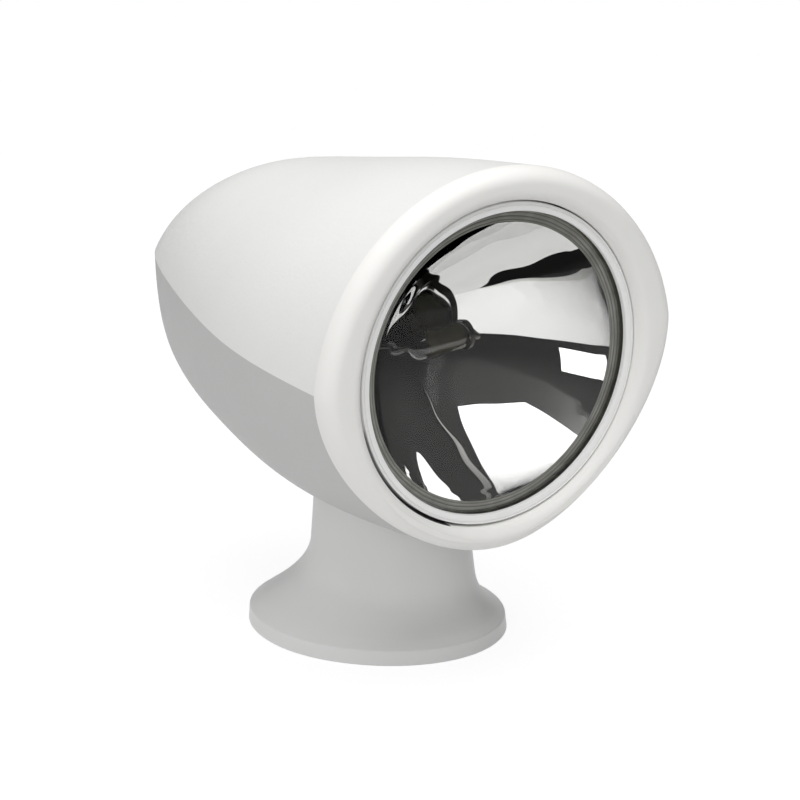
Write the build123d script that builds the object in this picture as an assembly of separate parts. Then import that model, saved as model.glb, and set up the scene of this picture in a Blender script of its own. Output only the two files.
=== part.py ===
from build123d import *
import os
from math import cos, radians, sin

os.makedirs("parts", exist_ok=True)

# Frame: the origin is on the pan axis, on the underside of the foot.
# +Z points up, and the beam points along -Y. All lengths are in millimetres.

# Clearances shared by all the fits
fit_gap = 0.05
rub_gap = 0.3

# Cutting tools are made longer than anything in the light
beyond = 600.0

# Pedestal: an oval foot that sweeps up into an oval neck
pedestal_turn = 25.8
foot_half_width = 41.3
foot_half_length = 49.7
foot_setback = 7.2
foot_rim_height = 5.8
foot_rim_draft = 0.5
neck_half_width = 23.4
neck_half_length = 29.4
neck_start = 53.0
neck_top = 67.0
flare_power = 3.1
pedestal_wall = 3.2
neck_deck = 6.0

# Base plate, its seal, its screws and the threaded inserts for the deck bolts
plate_thickness = 3.0
plate_gap = 0.3
gasket_width = 3.0
gasket_depth = 1.5
gasket_inset = 4.5
insert_circle = 56.0
insert_radius = 3.4
insert_bore = 2.1
insert_length = 9.0
insert_boss_wall = 2.0
plate_screw_circle = 60.0
plate_boss_top = 32.0
grommet_bore = 5.0
grommet_radius = 7.0
grommet_lip = 9.0
grommet_lip_height = 1.5

# Pan spindle and what is stacked on it
spindle_radius = 8.0
spindle_bore = 5.5
spindle_flange = 13.0
spindle_flange_thickness = 3.0
thrust_washer_radius = 14.5
thrust_washer_thickness = 1.5
bush_wall = 2.0
hub_wall = 4.0
keeper_radius = 12.0
keeper_thickness = 1.0
nut_flats = 20.0
nut_height = 3.0

# Gears, all of one tooth size
tooth_module = 0.8
pan_gear_teeth = 56
sector_teeth = 60
pinion_teeth = 12
tooth_share = 0.43
gear_bore = 15.0
gear_thickness = 4.0
gear_screw_circle = 37.0
pinion_thickness = 2.4
pinion_shaft_radius = 1.5

# Turret: a turning deck with two arms that carry the head
deck_gap = 1.0
deck_thickness = 3.0
deck_radius = 28.5
deck_lobe_radius = 9.5
arm_inner = 26.5
arm_thickness = 3.0
arm_foot_half = 13.0
arm_eye_radius = 8.0
arm_neck_half = 6.5
tilt_motor_clearance = 0.9
pin_radius = 3.0
pin_head_radius = 5.5
pin_head_thickness = 2.0

# Gear motors
pan_motor_radius = 8.0
tilt_motor_radius = 7.0
gearbox_length = 11.0
gearbox_nose_radius = 3.4
motor_length = 22.0
motor_cap_length = 2.0
motor_cap_inset = 1.2

# Head: stations along the egg, from the bezel joint to the tail.
# Each row is the share of the length behind the joint, the half width, the
# crown above the side crease, and the keel below it.
joint_y = -68.8
crease_above_tilt = 9.9
tail_length = 194.0
stations = (
    (0.0, 75.0, 66.5, 73.1),
    (0.124, 74.6, 62.5, 73.7),
    (0.253, 72.8, 57.9, 73.0),
    (0.381, 68.6, 52.4, 70.0),
    (0.510, 62.2, 46.8, 66.0),
    (0.639, 54.6, 41.2, 62.4),
    (0.742, 47.7, 35.2, 59.0),
    (0.845, 39.6, 26.0, 53.0),
    (0.907, 32.4, 18.6, 45.6),
    (0.954, 23.9, 11.6, 34.6),
    (0.982, 15.2, 6.6, 22.6),
)
keel_roundness_front = 1.76
keel_roundness_tail = 3.2
shell_wall = 2.8

# Slot in the belly that lets the neck through at every tilt
slot_half_width = 31.5
slot_front = -58.5
slot_back = 68.0
slot_corner = 9.0

# Front bulkhead, pivot brackets and screw bosses of the shells
beam_below_crease = 4.25
bulkhead_thickness = 3.0
bulkhead_opening = 60.0
bracket_inner = 34.0
bracket_thickness = 4.0
bracket_half = 12.0
bracket_drop = 50.0
bracket_eye_radius = 9.0
pivot_bush_radius = 5.0
boss_radius = 4.2
shell_screw_places = ((66.0, -38.0), (44.5, 60.0))
shell_screw_length = 20.0
shell_boss_height = 30.0
shell_boss_below = 10.0

# Bezel: a fat rolled ring. Each step is the distance ahead of the joint
# and how far the outline has drawn in.
bezel_opening = 59.1
bezel_roll = 4.6
bezel_steps = ((0.0, 0.0), (2.4, 0.35), (4.6, 1.5), (6.3, 3.2), (7.3, 5.6))
bezel_gasket_width = 2.0
bezel_gasket_depth = 1.2
bezel_screw_radius = 64.6
bezel_screw_angles = (38.0, 142.0, 205.0, 335.0)

# Lamp: a sealed beam held between a carrier and a retaining ring
lamp_radius = 57.15
lamp_flange = 3.2
lens_window = 54.8
lens_thickness = 3.0
lens_crown = 2.4
lens_ahead = 2.8
lens_rim_step = 1.0
bowl_mouth = 50.5
bowl_depth = 44.0
bowl_wall = 2.4
ring_outer = 58.5
carrier_thickness = 2.6
carrier_seat_wall = 2.0
carrier_flange = 64.0
lamp_gasket_thickness = 1.0
terminal_spread = 9.0
terminal_length = 9.0
terminal_width = 6.3
terminal_thickness = 0.8
terminal_foot_height = 8.0
terminal_boss = 5.5
capsule_radius = 4.8
capsule_length = 22.0
lead_radius = 0.6

# Screws: head radius, head height and shank radius
small_screw = (2.2, 1.5, 1.2)


def save(name, *solids):
    shape = solids[0] if len(solids) == 1 else Compound(list(solids))
    export_step(shape, "parts/" + name + ".step")


def rod(radius, start, end):
    # A cylinder along Z between two heights.
    return Pos(0, 0, (start + end) / 2) * Cylinder(radius, abs(end - start))


def tube(outer, inner, start, end):
    return rod(outer, start, end) - rod(inner, start - 1, end + 1)


def along_x(shape):
    # Lay a shape that was made along Z down along +X.
    return Rot(0, 90, 0) * shape


def along_beam(shape):
    # Lay a shape that was made along Z down along +Y, on the optical axis.
    return Pos(0, 0, optical_height) * Rot(-90, 0, 0) * shape


def screw(size, length):
    # The head stands on Z = 0 and the shank goes down.
    head_radius, head_height, shank_radius = size
    head = rod(head_radius, 0, head_height)
    head = chamfer(head.edges().sort_by(Axis.Z)[-1], head_height * 0.3)
    return head + rod(shank_radius, -length, 0)


def screw_hole(size, length):
    return rod(size[2] + fit_gap, -length, 1)


def gear(teeth, bore, thickness):
    # Straight-sided teeth, with one tooth centred on +X.
    pitch_radius = tooth_module * teeth / 2
    tip = pitch_radius + 0.8 * tooth_module
    root = pitch_radius - 1.15 * tooth_module
    half_at_pitch = tooth_share * 180 / teeth
    half_at_tip = half_at_pitch * 0.55
    half_at_root = half_at_pitch * 1.35
    outline = []
    for index in range(teeth):
        middle = 360 / teeth * index
        for radius, offset in ((root, -half_at_root), (tip, -half_at_tip),
                               (tip, half_at_tip), (root, half_at_root)):
            angle = radians(middle + offset)
            outline.append((radius * cos(angle), radius * sin(angle)))
    face = make_face(Polyline(*outline, close=True))
    body = extrude(face, thickness)
    return body - rod(bore, -1, thickness + 1) if bore else body


# Pedestal
def oval(half_width, half_length, setback, height):
    # A level oval, set back along the foot's own length and turned with it.
    return Rot(0, 0, pedestal_turn) * Pos(0, setback, height) * Ellipse(half_width, half_length)


def flare(height, inset):
    # The oval at one height: the foot's outline fades into the neck's.
    climb = max(0.0, (height - foot_rim_height) / (neck_start - foot_rim_height))
    share = max(0.0, 1 - climb) ** flare_power
    return oval(neck_half_width + (foot_half_width - neck_half_width) * share - inset,
                neck_half_length + (foot_half_length - neck_half_length) * share - inset,
                foot_setback * share, height)


def stack(heights, inset):
    return loft([flare(height, inset) for height in heights])


climb_steps = (0.0, 0.07, 0.17, 0.3, 0.48, 0.72, 1.0)
flare_heights = [foot_rim_height + step * (neck_start - foot_rim_height) for step in climb_steps]
neck_block = extrude(flare(neck_start, 0), neck_top - neck_start)
rim_block = loft([oval(foot_half_width + foot_rim_draft, foot_half_length + foot_rim_draft, foot_setback, 0),
                  flare(foot_rim_height, 0)])
pedestal_solid = rim_block + stack(flare_heights, 0) + neck_block
cavity_top = neck_top - neck_deck
cavity = extrude(flare(foot_rim_height, pedestal_wall), -foot_rim_height)
cavity += stack(flare_heights, pedestal_wall)
cavity += extrude(flare(neck_start, pedestal_wall), cavity_top - neck_start)
pedestal_shell = pedestal_solid - cavity - rod(spindle_radius + fit_gap, cavity_top - 1, neck_top + 1)

plate_bosses = [Rot(0, 0, pedestal_turn + 90 * i) * Pos(0, plate_screw_circle / 2, 0) for i in range(4)]
for place in plate_bosses:
    pillar = place * rod(boss_radius, plate_thickness, plate_boss_top) & pedestal_solid
    pedestal_shell += pillar
    pedestal_shell -= place * rod(small_screw[2] + fit_gap, 0, plate_thickness + 8)
gear_screw_places = [Rot(0, 0, 120 * i) * Pos(0, gear_screw_circle / 2, 0) for i in range(3)]
gear_screw_length = gear_thickness + neck_deck - 1.5
for place in gear_screw_places:
    pedestal_shell -= place * rod(small_screw[2] + fit_gap, cavity_top - 1, neck_top + 1)
save("pedestal_shell", pedestal_shell)

# Base plate, set flush into the foot
plate_solid = extrude(flare(0, pedestal_wall + plate_gap), plate_thickness)
insert_places = [Rot(0, 0, pedestal_turn + 45 + 90 * i) * Pos(0, insert_circle / 2, 0) for i in range(4)]
base_plate = plate_solid
for place in insert_places:
    base_plate += place * rod(insert_radius + insert_boss_wall, 0, insert_length + 1)
    base_plate -= place * rod(insert_radius, -1, insert_length)
gasket_outer = pedestal_wall + plate_gap + gasket_inset - gasket_width
gasket_ring = extrude(flare(0, gasket_outer) - flare(0, gasket_outer + gasket_width), gasket_depth)
base_plate -= gasket_ring
for place in plate_bosses:
    base_plate -= place * rod(small_screw[2] + fit_gap, -1, plate_thickness + 1)
    base_plate -= place * rod(small_screw[0] + 0.2, -1, small_screw[1])
base_plate -= rod(grommet_radius, -1, plate_thickness + 1)
save("base_plate", base_plate)
save("base_gasket", gasket_ring)
insert = tube(insert_radius, insert_bore, 0, insert_length)
save("deck_inserts", *[place * insert for place in insert_places])
save("plate_screws", *[place * Pos(0, 0, small_screw[1]) * Rot(180, 0, 0) * screw(small_screw, 8)
                       for place in plate_bosses])
grommet = tube(grommet_radius, grommet_bore, 0, plate_thickness)
grommet += tube(grommet_lip, grommet_bore, plate_thickness, plate_thickness + grommet_lip_height)
save("cable_grommet", grommet)

# Pan spindle with its washers and nut
washer_top = neck_top + thrust_washer_thickness
hub_bottom = washer_top + 0.1
deck_bottom = neck_top + gear_thickness + deck_gap
deck_top = deck_bottom + deck_thickness
bush_top = deck_top + 1.0
keeper_bottom = bush_top + rub_gap
keeper_top = keeper_bottom + keeper_thickness
spindle_top = keeper_top + nut_height
spindle = rod(spindle_flange, cavity_top - spindle_flange_thickness, cavity_top)
spindle += rod(spindle_radius, cavity_top, spindle_top)
spindle -= rod(spindle_bore, cavity_top - spindle_flange_thickness - 1, spindle_top + 1)
save("pan_spindle", spindle)
save("thrust_washer", tube(thrust_washer_radius, spindle_radius + fit_gap, neck_top, washer_top))
save("keeper_washer", tube(keeper_radius, spindle_radius + fit_gap, keeper_bottom, keeper_top))
nut = Pos(0, 0, keeper_top) * extrude(RegularPolygon(nut_flats / 2, 6, major_radius=False), nut_height)
save("spindle_nut", nut - rod(spindle_radius + fit_gap, keeper_top - 1, spindle_top + 1))

# The tilt motor clears the spindle, and the tilt axis follows from it
pan_centres = tooth_module * (pan_gear_teeth + pinion_teeth) / 2
tilt_centres = tooth_module * (sector_teeth + pinion_teeth) / 2
tilt_height = spindle_top + tilt_motor_clearance + tilt_motor_radius + tilt_centres
crease_height = tilt_height + crease_above_tilt
optical_height = crease_height - beam_below_crease

# Fixed ring gear on top of the neck
pan_gear = Pos(0, 0, neck_top) * gear(pan_gear_teeth, gear_bore, gear_thickness)
for place in gear_screw_places:
    pan_gear -= place * rod(small_screw[2] + fit_gap, neck_top - 1, neck_top + gear_thickness + 1)
    pan_gear -= place * rod(small_screw[0] + 0.2, neck_top + gear_thickness - small_screw[1],
                            neck_top + gear_thickness + 1)
save("pan_gear", pan_gear)
gear_screw_seat = Pos(0, 0, neck_top + gear_thickness - small_screw[1])
save("gear_screws", *[place * gear_screw_seat * screw(small_screw, gear_screw_length - small_screw[1])
                      for place in gear_screw_places])

# Turret chassis
arm_outer = arm_inner + arm_thickness
deck_outline = Circle(deck_radius) + Rectangle(2 * arm_outer, 2 * arm_foot_half)
deck_outline += Pos(0, pan_centres) * Circle(deck_lobe_radius)
chassis = Pos(0, 0, deck_bottom) * extrude(deck_outline, deck_thickness)
hub_radius = spindle_radius + fit_gap + bush_wall + hub_wall
chassis += rod(hub_radius, hub_bottom, deck_bottom + 0.5)
arm_side = make_face(Polyline((-arm_foot_half, deck_top - 1), (arm_foot_half, deck_top - 1),
                              (arm_neck_half, tilt_height), (-arm_neck_half, tilt_height), close=True))
arm_side += Pos(0, tilt_height) * Circle(arm_eye_radius)
arm = extrude(Plane.YZ * arm_side, arm_thickness)
chassis += Pos(arm_inner, 0, 0) * arm + Pos(-arm_outer, 0, 0) * arm
bush_outer = spindle_radius + fit_gap + bush_wall
chassis -= rod(bush_outer, hub_bottom - 1, deck_top + 1)
pinion_place = Pos(0, pan_centres, 0)
chassis -= pinion_place * rod(gearbox_nose_radius + fit_gap, deck_bottom - 1, deck_top + 1)
pivot_line = Pos(0, 0, tilt_height)
tilt_motor_line = Pos(0, 0, tilt_height - tilt_centres)
chassis -= pivot_line * along_x(rod(pin_radius, -arm_outer - 1, arm_outer + 1))
chassis -= tilt_motor_line * along_x(rod(gearbox_nose_radius + fit_gap, arm_inner - 1, arm_outer + 1))
motor_screw_spread = pan_motor_radius - small_screw[0]
pan_screw_places = [pinion_place * Pos(side * motor_screw_spread, 0, deck_bottom) * Rot(180, 0, 0)
                    for side in (-1, 1)]
tilt_screw_places = [tilt_motor_line * Pos(arm_outer, side * (tilt_motor_radius - 1.7), 0) * Rot(0, 90, 0)
                     for side in (-1, 1)]
motor_screw_length = deck_thickness + 4
motor_screw_places = pan_screw_places + tilt_screw_places
for place in motor_screw_places:
    chassis -= place * screw_hole(small_screw, motor_screw_length)
save("turret_chassis", chassis)
save("pan_bush", tube(bush_outer, spindle_radius + fit_gap, hub_bottom, bush_top))
save("motor_screws", *[place * screw(small_screw, motor_screw_length) for place in motor_screw_places])


def gearbox(radius, nose):
    # The mounting face is at Z = 0, the nose goes down and the box goes up.
    body = rod(radius, 0, gearbox_length) + rod(gearbox_nose_radius, -nose, 0)
    body -= rod(pinion_shaft_radius + fit_gap, -nose - 1, 7)
    return body


def motor(radius):
    can = rod(radius, 0, motor_length)
    cap = rod(radius - motor_cap_inset, motor_length, motor_length + motor_cap_length)
    return can + cap + rod(2.0, motor_length, motor_length + motor_cap_length + 1)


pan_gearbox = pinion_place * Pos(0, 0, deck_top) * gearbox(pan_motor_radius, deck_thickness)
tilt_gearbox_place = tilt_motor_line * Pos(arm_inner, 0, 0) * Rot(0, -90, 0)
tilt_gearbox = tilt_gearbox_place * gearbox(tilt_motor_radius, arm_thickness)
for place in pan_screw_places:
    pan_gearbox -= place * screw_hole(small_screw, motor_screw_length)
for place in tilt_screw_places:
    tilt_gearbox -= place * screw_hole(small_screw, motor_screw_length)
save("pan_gearbox", pan_gearbox)
save("tilt_gearbox", tilt_gearbox)
save("pan_motor", pinion_place * Pos(0, 0, deck_top + gearbox_length) * motor(pan_motor_radius))
save("tilt_motor", tilt_motor_line * Pos(arm_inner - gearbox_length, 0, 0) * Rot(0, -90, 0)
     * motor(tilt_motor_radius))

# Pinions, each on its stub of shaft
pinion = Rot(0, 0, 180 / pinion_teeth) * gear(pinion_teeth, 0, pinion_thickness)
pan_pinion = Pos(0, pan_centres, neck_top + 1) * pinion
pan_pinion += pinion_place * rod(pinion_shaft_radius, neck_top + 2, deck_bottom + 5)
save("pan_pinion", pan_pinion)
sector_inner = arm_outer + small_screw[1] + rub_gap
sector_thickness = bracket_inner - sector_inner
tilt_pinion = Pos(sector_inner, 0, 0) * Rot(0, 90, 0) * pinion
tilt_pinion += along_x(rod(pinion_shaft_radius, arm_inner - 5, arm_outer + 2))
save("tilt_pinion", tilt_motor_line * tilt_pinion)

# Pivot pins: fixed in the arms, running in bushes in the brackets
bracket_outer = bracket_inner + bracket_thickness
pivot_pin = rod(pin_radius, arm_inner, bracket_outer + rub_gap)
pivot_pin += rod(pin_head_radius, bracket_outer + rub_gap, bracket_outer + rub_gap + pin_head_thickness)
right_pin = pivot_line * along_x(pivot_pin)
save("pivot_pins", right_pin, mirror(right_pin, Plane.YZ))
bush = tube(pivot_bush_radius, pin_radius + fit_gap, bracket_inner, bracket_outer)
right_bush = pivot_line * along_x(bush)
save("pivot_bushes", right_bush, mirror(right_bush, Plane.YZ))


# Head shells
def outline(half_width, crown, keel, roundness):
    # Crown: one arc over the top. Keel: a superellipse drawn as two curves.
    arc = ThreePointArc((-half_width, 0), (0, crown), (half_width, 0))
    pull = (8 * 0.5 ** (1 / roundness) - 4) / 3
    right = Bezier((half_width, 0), (half_width, -pull * keel), (pull * half_width, -keel), (0, -keel))
    left = Bezier((0, -keel), (-pull * half_width, -keel), (-half_width, -pull * keel), (-half_width, 0))
    return make_face([arc, right, left])


def section(row, inset):
    share, half_width, crown, keel = row
    roundness = keel_roundness_front + (keel_roundness_tail - keel_roundness_front) * share
    plane = Plane(origin=(0, joint_y + share * tail_length, crease_height), x_dir=(1, 0, 0), z_dir=(0, -1, 0))
    return plane * outline(half_width - inset, crown - inset, keel - inset, roundness)


def egg(inset):
    rows = [row for row in stations if row[2] > 2 * inset and (1 - row[0]) * tail_length > 3 * inset]
    faces = [section(row, inset) for row in rows]
    return loft(faces + [Vertex(0, joint_y + tail_length - inset, crease_height)])


outer_egg = egg(0)
inner_egg = egg(shell_wall)
shell = outer_egg - inner_egg
bulkhead = Pos(0, joint_y + bulkhead_thickness / 2, crease_height) * Box(beyond, bulkhead_thickness, beyond)
bulkhead &= outer_egg
bulkhead -= along_beam(rod(bulkhead_opening, joint_y - 1, joint_y + bulkhead_thickness + 1))
bezel_screw_places = []
for angle in bezel_screw_angles:
    across = bezel_screw_radius * cos(radians(angle))
    up = optical_height + bezel_screw_radius * sin(radians(angle))
    bezel_screw_places.append(Pos(across, joint_y + bulkhead_thickness, up) * Rot(-90, 0, 0))
bezel_screw_length = bulkhead_thickness + 4
for place in bezel_screw_places:
    bulkhead -= place * screw_hole(small_screw, bulkhead_thickness + 1)
above = Pos(0, 0, crease_height + beyond / 2) * Box(beyond, beyond, beyond)
below = Pos(0, 0, crease_height - beyond / 2) * Box(beyond, beyond, beyond)
upper_shell = (shell + bulkhead) & above
lower_shell = (shell + bulkhead) & below

shell_screw_all = [(side * across, back) for across, back in shell_screw_places for side in (-1, 1)]
boss_foot = crease_height - shell_boss_below
screw_tip = boss_foot + shell_screw_length
for across, back in shell_screw_all:
    place = Pos(across, back, 0)
    upper_shell += place * rod(boss_radius, crease_height, crease_height + shell_boss_height) & outer_egg
    upper_shell -= place * rod(small_screw[2] + fit_gap, crease_height - 1, screw_tip + 2)
    lower_shell += place * rod(boss_radius, 0, crease_height) & outer_egg
    lower_shell -= place * rod(small_screw[2] + fit_gap, 0, crease_height + 1)
    lower_shell -= place * rod(small_screw[0] + 0.4, 0, boss_foot)
bracket_side = make_hull((Pos(0, tilt_height - bracket_drop) * Rectangle(2 * bracket_half, bracket_drop)).edges()
                         + (Pos(0, tilt_height) * Circle(bracket_eye_radius)).edges())
bracket = extrude(Plane.YZ * bracket_side, bracket_thickness) & Pos(-bracket_inner, 0, 0) * outer_egg
lower_shell += Pos(bracket_inner, 0, 0) * bracket
lower_shell += mirror(Pos(bracket_inner, 0, 0) * bracket, Plane.YZ)
lower_shell -= pivot_line * along_x(rod(pivot_bush_radius, -bracket_outer - 1, bracket_outer + 1))
slot_outline = RectangleRounded(2 * slot_half_width, slot_back - slot_front, slot_corner)
slot = Pos(0, (slot_front + slot_back) / 2, 0) * extrude(slot_outline, crease_height)
lower_shell -= slot
save("upper_head_shell", upper_shell)
save("shell_screws", *[Pos(across, back, boss_foot) * Rot(180, 0, 0) * screw(small_screw, shell_screw_length)
                       for across, back in shell_screw_all])

# Tilt sector, screwed to the inner face of the right bracket
sector = gear(sector_teeth, 0, sector_thickness)
sector_reach = tooth_module * sector_teeth / 2
wedge = make_face(Polyline((0, 0), (60, -60), (0, -100), (-60, -60), close=True))
hub_disc = rod(9.0, 0, sector_thickness)
sector = (sector & extrude(wedge, sector_thickness)) + hub_disc
sector -= rod(pin_radius + 0.8, -1, sector_thickness + 1)
sector_plane = Plane(origin=(sector_inner, 0, tilt_height), x_dir=(0, 1, 0), z_dir=(1, 0, 0))
tilt_sector = sector_plane * sector
sector_screw_places = [Pos(sector_inner, side * 6.0, tilt_height - 15) * Rot(0, -90, 0) for side in (-1, 1)]
sector_seat = small_screw[1] - 0.9
for place in sector_screw_places:
    tilt_sector -= place * screw_hole(small_screw, 10)
    tilt_sector -= place * Pos(0, 0, -sector_seat) * rod(small_screw[0] + 0.1, 0, 5)
    lower_shell -= place * rod(small_screw[2] + fit_gap, -sector_thickness - 3, 0)
save("lower_head_shell", lower_shell)
save("tilt_sector", tilt_sector)
save("sector_screws", *[place * Pos(0, 0, -sector_seat) * screw(small_screw, sector_thickness + 1.8)
                        for place in sector_screw_places])

# Bezel ring with its seal and screws
front_row = stations[0]
bezel_sections = []
for ahead, drawn_in in bezel_steps:
    plane = Plane(origin=(0, joint_y - ahead, crease_height), x_dir=(1, 0, 0), z_dir=(0, -1, 0))
    bezel_sections.append(plane * outline(front_row[1] - drawn_in, front_row[2] - drawn_in,
                                          front_row[3] - drawn_in, keel_roundness_front))
bezel = loft(bezel_sections)
bezel_front = joint_y - bezel_steps[-1][0]
mouth = [(0, joint_y + 1), (bezel_opening, joint_y + 1), (bezel_opening, bezel_front + bezel_roll)]
rolled = (bezel_opening + bezel_roll * 0.293, bezel_front + bezel_roll * 0.293)
mouth_line = Polyline(*mouth)
mouth_arc = ThreePointArc(mouth[-1], rolled, (bezel_opening + bezel_roll, bezel_front))
crest_radius = bezel_opening + bezel_roll
mouth_end = Polyline((crest_radius, bezel_front), (crest_radius, bezel_front - 1),
                     (0, bezel_front - 1), (0, joint_y + 1))
mouth_face = make_face([mouth_line, mouth_arc, mouth_end])
mouth_solid = Pos(0, 0, optical_height) * revolve(mouth_face, Axis.Y)
bezel -= mouth_solid
for place in bezel_screw_places:
    bezel -= place * screw_hole(small_screw, bezel_screw_length + 0.5)
gasket_inner_edge = bulkhead_opening + 0.6
bezel_gasket = along_beam(tube(gasket_inner_edge + bezel_gasket_width, gasket_inner_edge,
                               joint_y - bezel_gasket_depth, joint_y))
bezel -= bezel_gasket
save("bezel_ring", bezel)
save("bezel_gasket", bezel_gasket)
save("bezel_screws", *[place * screw(small_screw, bezel_screw_length) for place in bezel_screw_places])

# Lamp lens: a shallow dome with a flat rim, fused to the bowl on the real lamp
lens_front = joint_y - lens_ahead
lens_back = lens_front + lamp_flange
rim_front = lens_front + lens_rim_step
lens_tip = rim_front - lens_crown
lens_hollow = lens_tip + lens_thickness
outer_curve = (lens_window ** 2 + lens_crown ** 2) / (2 * lens_crown)
inner_sag = lens_back - lens_hollow
inner_curve = (bowl_mouth ** 2 + inner_sag ** 2) / (2 * inner_sag)
lens = rod(lens_window, lens_tip - 1, lens_back) & Pos(0, 0, lens_tip + outer_curve) * Sphere(outer_curve)
lens += rod(lamp_radius, rim_front, lens_back)
lens -= Pos(0, 0, lens_hollow + inner_curve) * Sphere(inner_curve)
save("lamp_lens", along_beam(lens))

# Lamp bowl: a parabola, with a rim to match and two bosses for the terminals
bowl_front = lens_back
bowl_flange_back = bowl_front + lamp_flange
bowl_points = []
for index in range(7):
    share = index / 6
    bowl_points.append((bowl_mouth * share, bowl_front + bowl_depth * (1 - share ** 2)))
outer_mouth = bowl_mouth + bowl_wall
outer_points = []
for index in range(7):
    share = 1 - index / 6
    outer_points.append((outer_mouth * share, bowl_front + (bowl_depth + bowl_wall) * (1 - share ** 2)))
outer_points[0] = (outer_mouth, bowl_flange_back)
bowl_face = make_face([
    Spline(*bowl_points),
    Polyline(bowl_points[-1], (lamp_radius, bowl_front), (lamp_radius, bowl_flange_back), outer_points[0]),
    Spline(*outer_points),
    Line(outer_points[-1], bowl_points[0]),
])
reflector = Pos(0, 0, optical_height) * revolve(bowl_face, Axis.Y)
bowl_back = bowl_front + bowl_depth + bowl_wall
terminal_places = [Pos(side * terminal_spread, 0, 0) for side in (-1, 1)]
for place in terminal_places:
    reflector += place * along_beam(rod(terminal_boss, bowl_back - 4, bowl_back))
for place in terminal_places:
    reflector -= place * along_beam(rod(lead_radius + fit_gap, bowl_back - 12, bowl_back + 1))
save("lamp_reflector", reflector)

# Bulb inside the lamp: a capsule across the beam on two lead wires
focus_y = bowl_front + bowl_depth - bowl_mouth ** 2 / (4 * bowl_depth)
capsule = rod(capsule_radius, -capsule_length / 2, capsule_length / 2)
capsule = chamfer(capsule.edges(), capsule_radius * 0.4)
capsule_place = Pos(0, focus_y, optical_height)
save("bulb_capsule", capsule_place * along_x(capsule))
leads = []
for side in (-1, 1):
    lead = along_beam(rod(lead_radius, focus_y + capsule_radius, bowl_back))
    leads.append(Pos(side * terminal_spread, 0, 0) * lead)
save("bulb_leads", *leads)

# Terminals with their screws on the back of the lamp
terminals = []
for place in terminal_places:
    blade = Box(terminal_width, terminal_length, terminal_thickness)
    blade = Pos(0, bowl_back + terminal_length / 2, optical_height + 2.5) * blade
    foot = Box(terminal_width, terminal_thickness, terminal_foot_height)
    foot = Pos(0, bowl_back + terminal_thickness / 2, optical_height) * foot
    terminals.append(place * (blade + foot))
save("lamp_terminals", *terminals)

# Carrier behind the lamp, its cushion, and the ring in front
cushion_back = bowl_flange_back + lamp_gasket_thickness
carrier_front = joint_y + bulkhead_thickness
carrier = tube(carrier_flange, lamp_radius + 1, carrier_front, carrier_front + carrier_thickness)
carrier += tube(lamp_radius + 1 + carrier_seat_wall, outer_mouth + 1,
                cushion_back, cushion_back + carrier_thickness)
carrier = along_beam(carrier)
for place in bezel_screw_places:
    carrier -= place * rod(small_screw[0] + 0.4, -1, 10)
save("lamp_carrier", carrier)
save("lamp_gasket", along_beam(tube(lamp_radius, outer_mouth + 1, bowl_flange_back, cushion_back)))

ring_front = lens_front - 0.8
ring = tube(ring_outer, lens_window + 0.15, ring_front, carrier_front)
ring -= rod(lamp_radius + 0.15, rim_front, carrier_front + 1)
save("retaining_ring", along_beam(ring))
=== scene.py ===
import math
import bmesh
import bpy
import numpy as np
from mathutils import Matrix, Vector


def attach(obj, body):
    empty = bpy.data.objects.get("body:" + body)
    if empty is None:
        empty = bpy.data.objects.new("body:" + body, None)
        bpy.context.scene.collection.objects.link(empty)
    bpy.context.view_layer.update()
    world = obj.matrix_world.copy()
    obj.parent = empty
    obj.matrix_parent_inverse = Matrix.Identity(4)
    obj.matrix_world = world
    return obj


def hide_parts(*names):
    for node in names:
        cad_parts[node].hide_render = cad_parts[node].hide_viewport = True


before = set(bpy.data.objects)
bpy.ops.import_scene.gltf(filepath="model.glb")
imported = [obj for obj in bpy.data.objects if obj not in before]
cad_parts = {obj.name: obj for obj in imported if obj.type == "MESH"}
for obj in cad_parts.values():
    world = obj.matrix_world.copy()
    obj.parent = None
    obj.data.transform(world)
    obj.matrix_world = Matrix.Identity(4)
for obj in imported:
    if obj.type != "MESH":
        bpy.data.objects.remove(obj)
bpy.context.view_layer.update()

# The pedestal is a hollow moulding: an oval foot with a short upright rim,
# sweeping up into an oval neck. It is moulded in pale grey plastic with a
# smooth satin skin, and stands turned under the head.
pedestal_turn = math.radians(25.8)
foot_side, foot_front, foot_rear = 41.0, 43.7, 56.3
foot_middle = 8.3
foot_rim_height = 5.8
foot_rim_draft = 0.5
neck_side, neck_front, neck_rear = 20.5, 30.1, 29.0
neck_spread = 0.09
neck_straight = 60.0
neck_top = 67.0
neck_ceiling = 61.0
flare_side, flare_front, flare_rear = (18.0, 3.0), (20.0, 2.6), (28.0, 2.0)
plate_opening = (38.1, 46.5, 7.2)
pedestal_wall = 3.2
rim_round = 0.9
rim_round_turn = 1.35
rim_round_base = foot_rim_height - 0.85
rim_swell = 0.06
rim_crease = 0.55
rim_crease_height = 2.5
deck_boss = 9.5
spindle_hole = 8.05


class Wire:
    """One output of a node, so that sums of outputs read as sums."""

    def __init__(self, finish, socket):
        self.finish = finish
        self.socket = socket

    def __add__(self, other):
        return self.finish.math("ADD", self, other)

    def __sub__(self, other):
        return self.finish.math("SUBTRACT", self, other)

    def __mul__(self, other):
        return self.finish.math("MULTIPLY", self, other)

    def __rsub__(self, other):
        return self.finish.math("SUBTRACT", other, self)

    __radd__ = __add__
    __rmul__ = __mul__


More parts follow.
